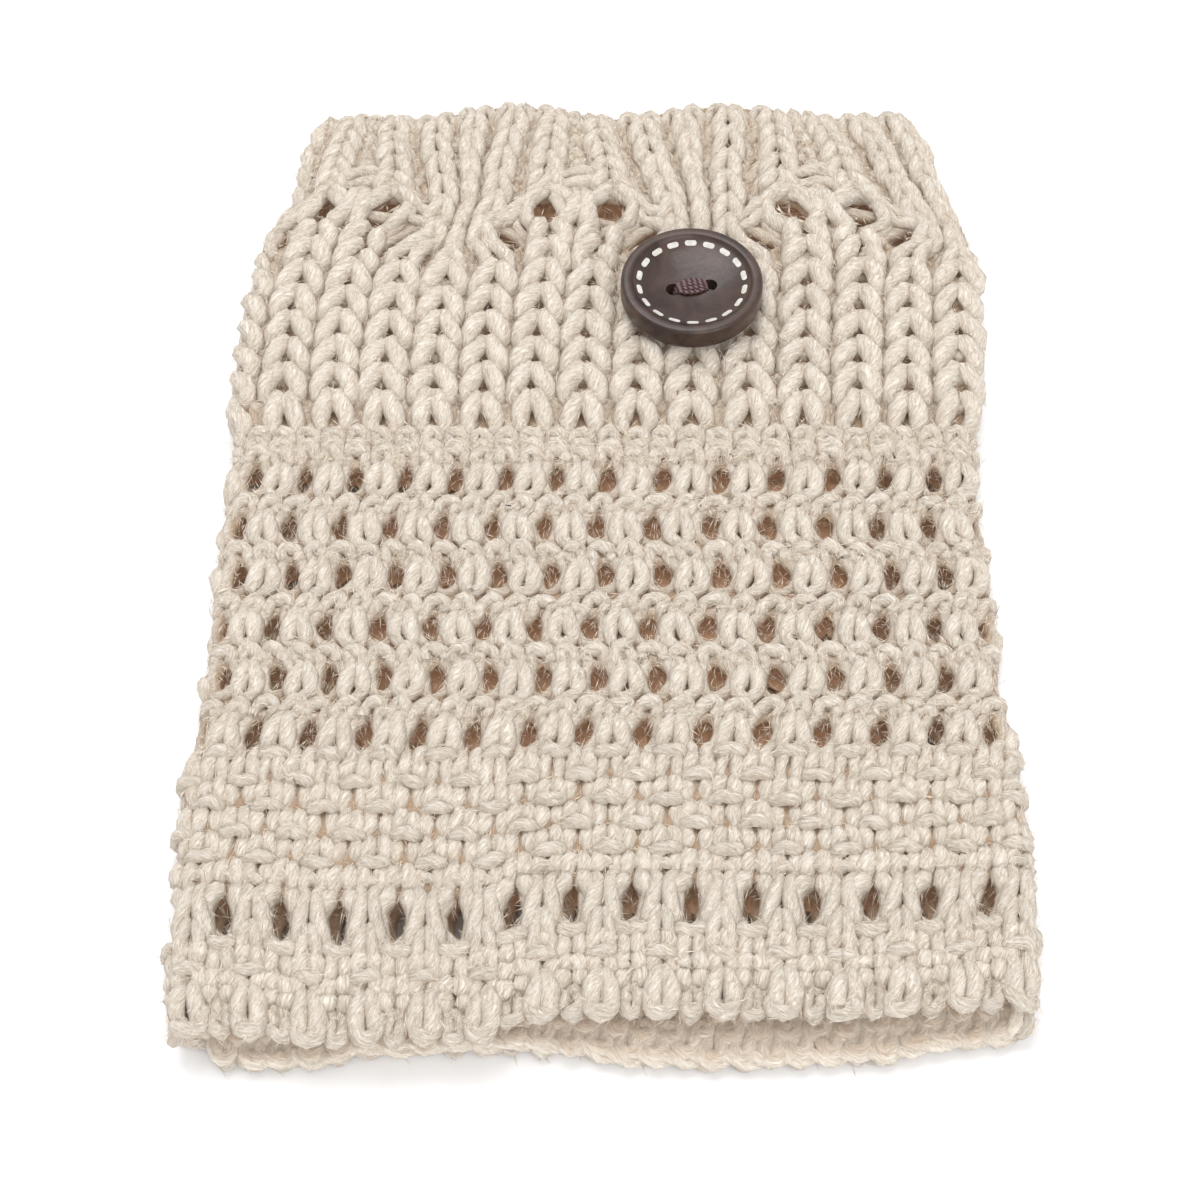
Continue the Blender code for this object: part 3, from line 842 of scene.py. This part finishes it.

# The inside of the back's edge: the backs of its last loops, and the bound-off edge, two strands twisted
# round each other. It lies in the shade of the front, and its yarn has a painted glow that makes it paler.
INSIDE_LOOP = stitch(0.12, 0.12, 0.13, 0.0002, 0.0005, 0.0001, (1.1, 1.1, 1.2))
INSIDE_LENGTH = 0.0046
INSIDE_ROWS = ((0.0, 0.0058), (0.25, 0.0088), (0.0, 0.0118))  # columns shifted, height
INSIDE_STEP = 0.5  # columns from loop to loop
BACK_WALES = np.arange(8.0, 22.2, INSIDE_STEP)
EDGE_HIGH = 0.0014
EDGE_DEEP = 0.0008
EDGE_TWIST = 0.0007
EDGE_SWELL = 0.9
# Painted glow: an emitted colour that lifts the back's edge out of the front's shade
CHAIN_PAINTED_GLOW = (0.90, 0.80, 0.68)
chain_lines = [
    straight_row(row_of((BACK_WALES + shift, INSIDE_LOOP)), height, INSIDE_LENGTH, closed=False)
    for shift, height in INSIDE_ROWS
]
edge_wales = np.arange(BACK_WALES[0], BACK_WALES[-1], INSIDE_STEP / 2)
edge_turn = 2 * np.pi * edge_wales
for side in (-1, 1):
    height = EDGE_HIGH + side * EDGE_TWIST * np.cos(edge_turn)
    out = EDGE_DEEP + side * EDGE_TWIST * np.sin(edge_turn)
    strand = strand_at(edge_wales, height, out, EDGE_SWELL)
    chain_lines.append(smooth(unevenly(strand), False))
painted_glow_yarn = yarn_material("painted_glow_yarn", YARN_DARK, YARN_LIGHT, YARN_SHEEN, CHAIN_PAINTED_GLOW)
spun("back_chain", chain_lines, closed=False, shade=painted_glow_yarn)


# ---- The stray fibres ----
# The yarn's nap: single fibres of its wool and acrylic that have worked loose. Most lie along the
# yarn with an end lifted, and some cross from strand to strand, or from rim to rim of an eyelet.

FIBRES = 36000  # lying along the yarn, in each of two pieces
NAP_SPLIT = 0.010  # the upper piece is over this far from the model's middle, along the tube
FIBRE_THICK = 0.00006
FIBRE_LENGTHS = (0.0012, 0.0030)
FIBRE_FROM = 0.96  # where a fibre leaves the yarn, as a share of its radius
FIBRE_SIDES = (0.05, 0.95)  # from one side of the yarn over its top, in half turns
FIBRE_STRAY = 0.55  # from the yarn's own direction
FIBRE_LIFT = (-0.0002, 0.0004)
FIBRE_ARCH = 0.00008
FIBRE_DEPTH = 0.004  # every fibre is as pale as yarn that lies this far out, free of painted shade and with its full painted glow
FIBRE_SHADES = 9.0  # metres of yarn over which the fibres' shades are picked
TABLE_SIDE = -0.3  # yarn that faces further down than this lies on the table,
UNDERNEATH = 0.12  # and keeps this share of its fibres
LOOSE_FIBRES = 1000  # crossing from strand to strand
LOOSE_LENGTHS = (0.002, 0.005)
LOOSE_DEPTHS = (0.0016, 0.0040)
LOOSE_RISE = 0.0004
LOOSE_INSET = 0.004  # from the cast-on edge
LOOSE_THICK = 0.00005
HOLE_HAIRS = 16  # crossing each eyelet
HAIR_REACH = (1.6, 1.3)  # how far out they are fixed, across and along, in the eyelet's sizes
HAIR_DEPTHS = (0.0004, 0.0024)
HAIR_BEND = (0.02, 0.0002, 0.0002)  # columns, along, out
NAP_PAINTED_GLOW = (0.85, 0.70, 0.55)  # painted glow: an emitted colour that makes single fibres bright from all round
nap_random = np.random.default_rng(11)


def needles(name, start, middle, end, thick):
    """One mesh of slightly bent fibres, each a sliver of four faces."""
    many = len(start)
    for place in (start, middle, end):
        place[:, 2] = np.maximum(place[:, 2], 2 * thick)
    along = unit(end - start)
    side = unit(np.cross(along, nap_random.normal(0, 1, (many, 3)))) * thick
    corners = np.stack([start, middle - side, middle + side, end], 1)
    faces = np.array([(0, 2, 1), (3, 1, 2), (0, 1, 3), (0, 3, 2)])
    faces = (faces[None] + 4 * np.arange(many)[:, None, None]).reshape(-1, 3)
    uvs = np.zeros((len(faces), 3, 2)) + nap_random.uniform(0, FIBRE_SHADES, (many, 1, 2)).repeat(4, 0)
    depths = np.full(4 * many, FIBRE_DEPTH)
    return new_object(name, strand_mesh(name, corners.reshape(-1, 3), faces, uvs, depths))


def unit(vectors):
    return vectors / np.linalg.norm(vectors, axis=-1)[..., None]


def yarn_nap(name, lowest, highest):
    """Fibres that lie along the yarn between two heights and lift off it at their ends."""
    path = np.concatenate([strand[:-1] for strand, _, _ in combed])
    ahead = np.concatenate([np.diff(strand, axis=0) for strand, _, _ in combed])
    outward = unit(np.concatenate([out[:-1] for _, out, _ in combed]))
    radius = np.concatenate([thick[:-1] for _, _, thick in combed])
    wanted = np.where(outward[:, 2] > TABLE_SIDE, 1.0, UNDERNEATH)
    wanted = wanted * (path[:, 1] >= lowest) * (path[:, 1] < highest)
    pick = nap_random.choice(len(path), FIBRES, p=wanted / wanted.sum())
    tangent = unit(ahead[pick])
    side = unit(np.cross(tangent, outward[pick]))
    rise = np.cross(side, tangent)
    turn = nap_random.uniform(*FIBRE_SIDES, FIBRES)[:, None] * np.pi
    away = np.cos(turn) * side + np.sin(turn) * rise
    start = path[pick] + away * (radius[pick] * FIBRE_FROM)[:, None]
    length = nap_random.uniform(*FIBRE_LENGTHS, FIBRES)[:, None]
    stray = nap_random.normal(0, FIBRE_STRAY, (FIBRES, 1)) * np.cross(tangent, away)
    lift = away * nap_random.uniform(*FIBRE_LIFT, (FIBRES, 1))
    end = start + length * unit(tangent * nap_random.choice((-1, 1), (FIBRES, 1)) + stray) + lift
    middle = (start + end) / 2 + away * nap_random.uniform(0, FIBRE_ARCH, (FIBRES, 1))
    return needles(name, start, middle, end, FIBRE_THICK)


def loose_nap():
    """Fibres that cross from strand to strand, and hairs across every eyelet."""
    start = np.stack([
        nap_random.uniform(-FOLD, -FOLD + ROUND, LOOSE_FIBRES),
        nap_random.uniform(0.0, TRIM_EDGE - LOOSE_INSET, LOOSE_FIBRES),
        nap_random.uniform(*LOOSE_DEPTHS, LOOSE_FIBRES),
    ], -1)
    heading = nap_random.uniform(0, 2 * np.pi, LOOSE_FIBRES)
    length = nap_random.uniform(*LOOSE_LENGTHS, LOOSE_FIBRES)
    rise = nap_random.normal(0, LOOSE_RISE, LOOSE_FIBRES)
    end = start + np.stack([np.cos(heading) * length / PITCH, np.sin(heading) * length, rise], -1)
    end[:, 1] = np.clip(end[:, 1], 0.0, TRIM_EDGE)
    wale, along, wide, high, _ = np.array(eyelets()).repeat(HOLE_HAIRS, 0).T
    heading = nap_random.uniform(0, 2 * np.pi, (2, len(wale)))
    depth = nap_random.uniform(*HAIR_DEPTHS, (2, len(wale)))
    rim_wales = wale + np.cos(heading) * HAIR_REACH[0] * wide / PITCH
    rim_alongs = along + np.sin(heading) * HAIR_REACH[1] * high
    rims = np.stack([rim_wales, rim_alongs, depth], -1)
    start, end = np.concatenate([start, rims[0]]), np.concatenate([end, rims[1]])
    middle = (start + end) / 2 + nap_random.normal(0, 1, start.shape) * HAIR_BEND
    first, second = np.concatenate([start, middle]), np.concatenate([middle, end])
    places = [laid(*point.T) for point in (first, (first + second) / 2, second)]
    return needles("loose_nap", *places, LOOSE_THICK)


nap_fibre = yarn_material("nap_fibre", (0.76, 0.65, 0.53), (0.94, 0.86, 0.75), 0.0, NAP_PAINTED_GLOW)
for nap in (yarn_nap("upper_nap", NAP_SPLIT, 1.0), yarn_nap("lower_nap", -1.0, NAP_SPLIT), loose_nap()):
    nap.data.materials.append(nap_fibre)
    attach(nap, "root")


# ---- The button ----
# A turned disc of dark brown resin with a satin finish: a rounded rim, a dish inside it, two sewing
# holes, and a ring of white dashes inlaid on the dish's slope.

BUTTON_RADIUS = 0.01185
BUTTON_THICK = 0.0041
RIM_RADIUS = 0.0112  # the outside of the flat top of the rim
BACK_ROUND = 0.0012  # how much the edge under it is rounded
DISH_RADIUS = 0.0100
DISH_DEPTH = 0.0019
DISH_CURVE = 3.0
LIP_HIGH = 0.0003  # how far the rim stands over the disc
SHOULDER = 0.0008
INNER_RING = 0.0003  # the radius of the smallest ring of the face
SEW_HOLE_RADIUS = 0.0012
SEW_HOLE_FLARE = 1.15  # how much wider the drill is at its upper end
SEW_HOLE_APART = 0.0061
SEW_TURN = np.radians(9)  # how the two holes lie, turned from straight across
DRILL_LENGTH = 0.012
DISC_SIDES = 160
DISH_RINGS = 18
ROUND_POINTS = 8  # on each rounded edge
SHARP = np.radians(50)  # edges that turn further than this are shaded sharp
HOLE_SIDES = 32
button_foot = Vector((button_middle.x, button_middle.y, button_low.z))


def dish_height(radius):
    return BUTTON_THICK - DISH_DEPTH * (1 - np.minimum(radius / DISH_RADIUS, 1.0) ** DISH_CURVE)


def button_profile():
    """Radius and height from the middle of the face, over the rim and in under the back."""
    face = [(radius, dish_height(radius)) for radius in np.linspace(INNER_RING, DISH_RADIUS, DISH_RINGS)]
    turn = np.linspace(0, np.pi / 2, ROUND_POINTS)
    half_rim = (RIM_RADIUS - DISH_RADIUS) / 2
    crown = [
        (DISH_RADIUS + half_rim * (1 - np.cos(a)), BUTTON_THICK + LIP_HIGH * np.sin(a)) for a in turn[1:]
    ]
    top, past_rim = BUTTON_THICK + LIP_HIGH, BUTTON_RADIUS - RIM_RADIUS
    shoulder = [(RIM_RADIUS + past_rim * np.sin(a), top - SHOULDER * (1 - np.cos(a))) for a in turn]
    back = [(BUTTON_RADIUS - BACK_ROUND * (1 - np.cos(a)), BACK_ROUND * (1 - np.sin(a))) for a in turn]
    return face + crown + shoulder + back + [(INNER_RING, 0.0)]


bm = bmesh.new()
rings = []
angles = np.arange(DISC_SIDES) * 2 * np.pi / DISC_SIDES
for radius, height in button_profile():
    rings.append([bm.verts.new((radius * np.cos(a), radius * np.sin(a), height)) for a in angles])
for upper, lower in zip(rings, rings[1:]):
    for i in range(DISC_SIDES):
        j = (i + 1) % DISC_SIDES
        bm.faces.new((upper[i], lower[i], lower[j], upper[j])).smooth = True
bm.faces.new(rings[0])
bm.faces.new(reversed(rings[-1]))
button = shaped("button_disc", bm)
button.location = button_foot
bpy.context.view_layer.update()

hole_drills = []
for side in (-1, 1):
    bm = bmesh.new()
    bmesh.ops.create_cone(
        bm, cap_ends=True, segments=HOLE_SIDES, depth=DRILL_LENGTH,
        radius1=SEW_HOLE_RADIUS, radius2=SEW_HOLE_RADIUS * SEW_HOLE_FLARE)
    drill = shaped("sewing_hole", bm)
    hole_place = Vector((np.cos(SEW_TURN), np.sin(SEW_TURN), 0)) * (side * SEW_HOLE_APART / 2)
    drill.location = button_foot + hole_place + Vector((0, 0, BUTTON_THICK / 2))
    hole_drills.append(drill)
    cut = button.modifiers.new("sewing hole", "BOOLEAN")
    cut.operation = "DIFFERENCE"
    cut.object = drill
bpy.context.view_layer.update()
drilled = bpy.data.meshes.new_from_object(button.evaluated_get(bpy.context.evaluated_depsgraph_get()))
button.modifiers.clear()
button.data = drilled
for drill in hole_drills:
    bpy.data.objects.remove(drill)
for polygon in drilled.polygons:
    polygon.use_smooth = True
drilled.set_sharp_from_angle(angle=SHARP)


def resin_material():
    material, resin, add, join, shades = new_material("dark_resin", {
        "Roughness": 0.34,
        "Specular IOR Level": 0.4,
        "Coat Weight": 0.20,
        "Coat Roughness": 0.12,
    })
    place = add("TexCoord")
    clouds = add("TexNoise", {"Scale": 160.0, "Detail": 4.0, "Distortion": 1.2})
    shade = shades((0.35, (0.024, 0.011, 0.007)), (0.70, (0.064, 0.034, 0.024)))
    grain = add("TexNoise", {"Scale": 1600.0, "Detail": 3.0, "Roughness": 0.7})
    polish = add("MapRange", {"From Min": 0.3, "From Max": 0.7, "To Min": 0.26, "To Max": 0.46})
    bump = add("Bump", {"Strength": 0.25, "Distance": 0.00012})
    join(place, "Object", "Vector", clouds, "Fac", "Fac", shade, "Color", "Base Color", resin)
    join(place, "Object", "Vector", grain, "Fac", "Value", polish, "Result", "Roughness", resin)
    join(grain, "Fac", "Height", bump, "Normal", "Normal", resin)
    return material


drilled.materials.clear()
drilled.materials.append(resin_material())
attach(button, "root")
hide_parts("button")

DASHES = 18
DASH_RING = 0.00885  # the radius of the ring they lie on
DASH_LENGTH = 0.0020
DASH_WIDTH = 0.00085
DASH_PROUD = 0.00006  # how far they stand out of the dish
DASH_DEEP = 0.00025  # and how far they go into it


def dash_outline():
    """A dash seen from above, straight, with round ends."""
    half = (DASH_LENGTH - DASH_WIDTH) / 2
    turn = np.linspace(-np.pi / 2, np.pi / 2, ROUND_POINTS)
    right = [(half + DASH_WIDTH / 2 * np.cos(a), DASH_WIDTH / 2 * np.sin(a)) for a in turn]
    left = [(-along, -aside) for along, aside in right]
    return right + left


bm = bmesh.new()
for i in range(DASHES):
    turn = (i + 0.5) * 2 * np.pi / DASHES
    top, bottom = [], []
    for along, aside in dash_outline():
        radius = DASH_RING - aside
        angle = turn + along / DASH_RING
        place = (radius * np.cos(angle), radius * np.sin(angle))
        height = float(dish_height(radius))
        top.append(bm.verts.new((*place, height + DASH_PROUD)))
        bottom.append(bm.verts.new((*place, height - DASH_DEEP)))
    bm.faces.new(top)
    bm.faces.new(reversed(bottom))
    for j in range(len(top)):
        k = (j + 1) % len(top)
        bm.faces.new((top[j], bottom[j], bottom[k], top[k]))
bmesh.ops.recalc_face_normals(bm, faces=bm.faces)
dashes = shaped("white_dashes", bm)
dashes.location = button_foot
bpy.context.view_layer.update()


def enamel_material():
    finish = {"Roughness": 0.4, "Specular IOR Level": 0.4}
    material, enamel, add, join, shades = new_material("white_enamel", finish)
    place = add("TexCoord")
    wear = add("TexNoise", {"Scale": 900.0, "Detail": 3.0})
    shade = shades((0.3, (0.50, 0.48, 0.43)), (0.7, (0.70, 0.68, 0.63)))
    join(place, "Object", "Vector", wear, "Fac", "Fac", shade, "Color", "Base Color", enamel)
    return material


dashes.data.materials.append(enamel_material())
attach(dashes, "root")


# ---- The sewing thread ----
# Several turns of mauve-brown sewing thread, which hold the button on the ribs. They pass through
# its two holes and are pulled down against the dish.

THREAD_RADIUS = 0.00036
THREAD_TURNS = (
    # across the bundle, up from the dish
    (-0.00120, 0.0), (-0.00062, 0.00035), (0.0, 0.00050), (0.00062, 0.00035), (0.00120, 0.0),
    (-0.00025, -0.00005), (0.00025, -0.00005),
)
THREAD_POINTS = 27
THREAD_SIDES = 10
THREAD_REACH = 0.90  # how far towards the middle of a hole it is drawn
HOLE_SPREAD = 0.25  # how far the turns lie apart at the holes,
MORE_SPREAD = 0.85  # and how much more so in the middle
PLUMP = 2.2  # how fully the bundle swells between the holes
DIVE_FROM = 0.82  # past this share of their reach the turns go down into the holes
DIVE = 0.0016
THREAD_STRAY = 0.00003
UPWARD = np.array([[0.0, 0.3, 1.0]])  # a way out of the thread that never lies along it

thread_parts, thread_base = [[], [], []], 0
for aside, lift in THREAD_TURNS:
    share = np.linspace(-1, 1, THREAD_POINTS)
    plump = 1 - np.abs(share) ** PLUMP
    length = share * SEW_HOLE_APART / 2 * THREAD_REACH
    width = aside * (HOLE_SPREAD + MORE_SPREAD * plump) + random.normal(0, THREAD_STRAY, THREAD_POINTS)
    height = BUTTON_THICK - DISH_DEPTH + THREAD_RADIUS + lift * plump
    height = height - DIVE * np.maximum(np.abs(share) - DIVE_FROM, 0) / (1 - DIVE_FROM)
    path = np.stack([
        button_foot.x + length * np.cos(SEW_TURN) - width * np.sin(SEW_TURN),
        button_foot.y + length * np.sin(SEW_TURN) + width * np.cos(SEW_TURN),
        button_foot.z + height,
    ], -1)
    radius = np.full(THREAD_POINTS, THREAD_RADIUS)
    strand, faces, lengths = tube_along(path, UPWARD, radius, THREAD_SIDES, False)
    for part, values in zip(thread_parts, (strand, faces + thread_base, lengths)):
        part.append(values)
    thread_base += len(strand)
thread_parts = [np.concatenate(part) for part in thread_parts]
thread = new_object("sewing_thread", strand_mesh("sewing_thread", *thread_parts, np.zeros(thread_base)))


def thread_material():
    finish = {"Roughness": 0.75, "Specular IOR Level": 0.2}
    material, cotton, add, join, shades = new_material("mauve_thread", finish)
    uv = add("UVMap", uv_map="along_yarn")
    turns = add("Mapping", {"Scale": (1400.0, 2.0, 1.0)})
    twist = add("TexWave", {"Scale": 0.5, "Distortion": 0.6}, bands_direction="DIAGONAL")
    shade = shades((0.15, (0.045, 0.026, 0.028)), (0.85, (0.20, 0.125, 0.13)))
    bump = add("Bump", {"Strength": 0.8, "Distance": 0.0001})
    join(uv, "UV", "Vector", turns, "Vector", "Vector", twist, "Fac", "Fac", shade)
    join(shade, "Color", "Base Color", cotton)
    join(twist, "Fac", "Height", bump, "Normal", "Normal", cotton)
    return material


thread.data.materials.append(thread_material())
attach(thread, "root")
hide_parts("button_thread")


# ---- The floor, the light and the camera ----
# A plain white table in soft light from all round, a broad lamp above and behind, a weaker one in
# front, and the camera at the hem, looking down at 55 degrees.

FLOOR_SIZE = 3.0
TABLE_WHITE = (0.95, 0.95, 0.96, 1)
edge = FLOOR_SIZE / 2
bm = bmesh.new()
bm.faces.new([bm.verts.new((x * edge, y * edge, 0)) for x, y in ((-1, -1), (1, -1), (1, 1), (-1, 1))])
floor = shaped("floor", bm)
paint = {"Base Color": TABLE_WHITE, "Roughness": 0.9, "Specular IOR Level": 0.1}
floor.data.materials.append(new_material("white_table", paint)[0])

LIGHTS = (
    # name, place, how wide, watts
    ("overhead", (-0.20, 0.40, 1.1), 0.9, 9.0),
    ("front_fill", (0.5, -1.0, 0.8), 1.2, 8.0),
)
for name, place, wide, watts in LIGHTS:
    lamp = bpy.data.lights.new(name, "AREA")
    lamp.shape = "SQUARE"
    lamp.size = wide
    lamp.energy = watts
    light = new_object(name, lamp)
    light.location = place
    light.rotation_euler = (-Vector(place)).to_track_quat("-Z", "Y").to_euler()
STUDIO_LIGHT = 0.77  # of the plain white studio all round
world = bpy.data.worlds.new("studio")
world.use_nodes = True
studio = world.node_tree.nodes["Background"]
studio.inputs["Color"].default_value = (1.0, 1.0, 1.0, 1)
studio.inputs["Strength"].default_value = STUDIO_LIGHT
bpy.context.scene.world = world

CAMERA_PITCH = 55.0  # degrees down from level
CAMERA_PLACE = (-0.0021, -0.2489, 0.3375)
LENS = 78.0  # millimetres
SENSOR = 36.0
camera_data = bpy.data.cameras.new("camera")
camera_data.lens = LENS
camera_data.sensor_width = SENSOR
camera = new_object("camera", camera_data)
camera.location = CAMERA_PLACE
camera.rotation_euler = (np.radians(90.0 - CAMERA_PITCH), 0, 0)
bpy.context.scene.camera = camera
bpy.context.scene.view_settings.view_transform = "Standard"
